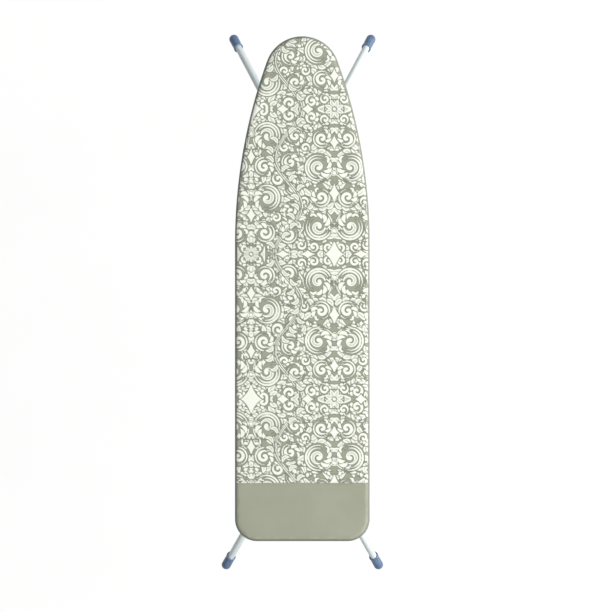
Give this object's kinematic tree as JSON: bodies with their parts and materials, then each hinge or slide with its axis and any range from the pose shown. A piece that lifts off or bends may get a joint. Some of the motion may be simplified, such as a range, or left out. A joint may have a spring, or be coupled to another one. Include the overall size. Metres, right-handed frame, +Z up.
{
  "type": "ironing board",
  "caption": "Folding ironing board: padded cloth-covered top with a rounded nose on a crossed stand of splayed tubular legs, with a lever-released friction height lock.",
  "frame": {"origin": "on the floor, midway between the feet, straight below the crossing pivot of the two leg frames", "axes": "+X across the board towards the side with the release lever, +Y along the board towards the rounded nose, +Z up"},
  "size_m": [0.444, 1.47, 0.8136],
  "materials": {
    "cover_print": "woven cotton print, scrolls in cream on sage",
    "cover_plain": "plain sage cotton with a light sheen",
    "pad_foam": "foam and felt underlay",
    "cord": "braided cotton cord",
    "sheet_steel": "pale grey enamel",
    "leg_enamel": "glossy silver-white enamel",
    "bright_steel": "zinc plated",
    "dull_steel": "zinc plated, satin",
    "cap_plastic": "moulded, slate blue",
    "nylon": "natural nylon",
    "slider_plastic": "moulded, dark grey",
    "toggle_plastic": "moulded, dark"
  },
  "bodies": {
    "board_top": {"steel_top": "sheet_steel", "pad": "pad_foam", "cover_printed_panel": "cover_print", "cover_plain_panel": "cover_plain", "hem_cord": "cord", "cord_lock": "toggle_plastic", "rear_hinge_bracket": "bright_steel", "hinge_rod": "bright_steel", "hinge_rod_caps": "dull_steel", "guide_channel": "bright_steel", "rod_guide_bush": "nylon", "lever_bracket": "bright_steel", "lever_bush": "nylon", "top_rivets": "dull_steel", "lock_spring": "bright_steel"},
    "front_leg_frame": {"front_leg_tube_left": "leg_enamel", "front_leg_tube_right": "leg_enamel", "front_leg_brace": "leg_enamel", "hinge_bushes": "nylon", "pivot_rivets": "bright_steel", "pivot_spacers": "nylon", "front_leg_end_plugs": "cap_plastic", "front_foot_cap_left": "cap_plastic", "front_foot_cap_right": "cap_plastic"},
    "rear_leg_frame": {"rear_leg_tube_left": "leg_enamel", "rear_leg_tube_right": "leg_enamel", "rear_leg_brace": "leg_enamel", "pivot_bushes": "nylon", "cross_bar": "bright_steel", "cross_bar_caps": "dull_steel", "rear_leg_end_plugs": "cap_plastic", "rear_foot_cap_left": "cap_plastic", "rear_foot_cap_right": "cap_plastic"},
    "slider": {"slider_block": "slider_plastic", "lock_rod": "bright_steel", "lock_rod_nut": "dull_steel", "lock_rod_end_cap": "cap_plastic"},
    "lever": {"release_lever": "bright_steel", "lock_plate": "dull_steel", "lever_grip": "cap_plastic", "lever_retaining_cap": "dull_steel"}
  },
  "joints": [
    {"name": "leg_fold", "type": "hinge", "parent": "board_top", "child": "front_leg_frame", "pos_m": [0, -0.46966, 0.78337], "axis": [1, 0, 0], "range_deg": [-8, 30.8], "stiffness_Nm_per_rad": 30, "springref_deg": -175.33},
    {"name": "leg_cross_pivot", "type": "hinge", "parent": "front_leg_frame", "child": "rear_leg_frame", "pos_m": [0, 0, 0.47837], "axis": [1, 0, 0], "range_deg": [-61.6, 16]},
    {"name": "slider_pivot", "type": "hinge", "parent": "rear_leg_frame", "child": "slider", "pos_m": [0, 0.46966, 0.78337], "axis": [1, 0, 0], "range_deg": [-8, 30.8]},
    {"name": "release_lever", "type": "hinge", "parent": "board_top", "child": "lever", "pos_m": [0, 0.33, 0.79537], "axis": [-1, 0, 0], "range_deg": [0, 10], "stiffness_Nm_per_rad": 1.5}
  ],
  "couplings": [
    {"joint": "leg_cross_pivot", "follows": "leg_fold", "ratio": -2},
    {"joint": "slider_pivot", "follows": "leg_fold", "ratio": 1}
  ]
}
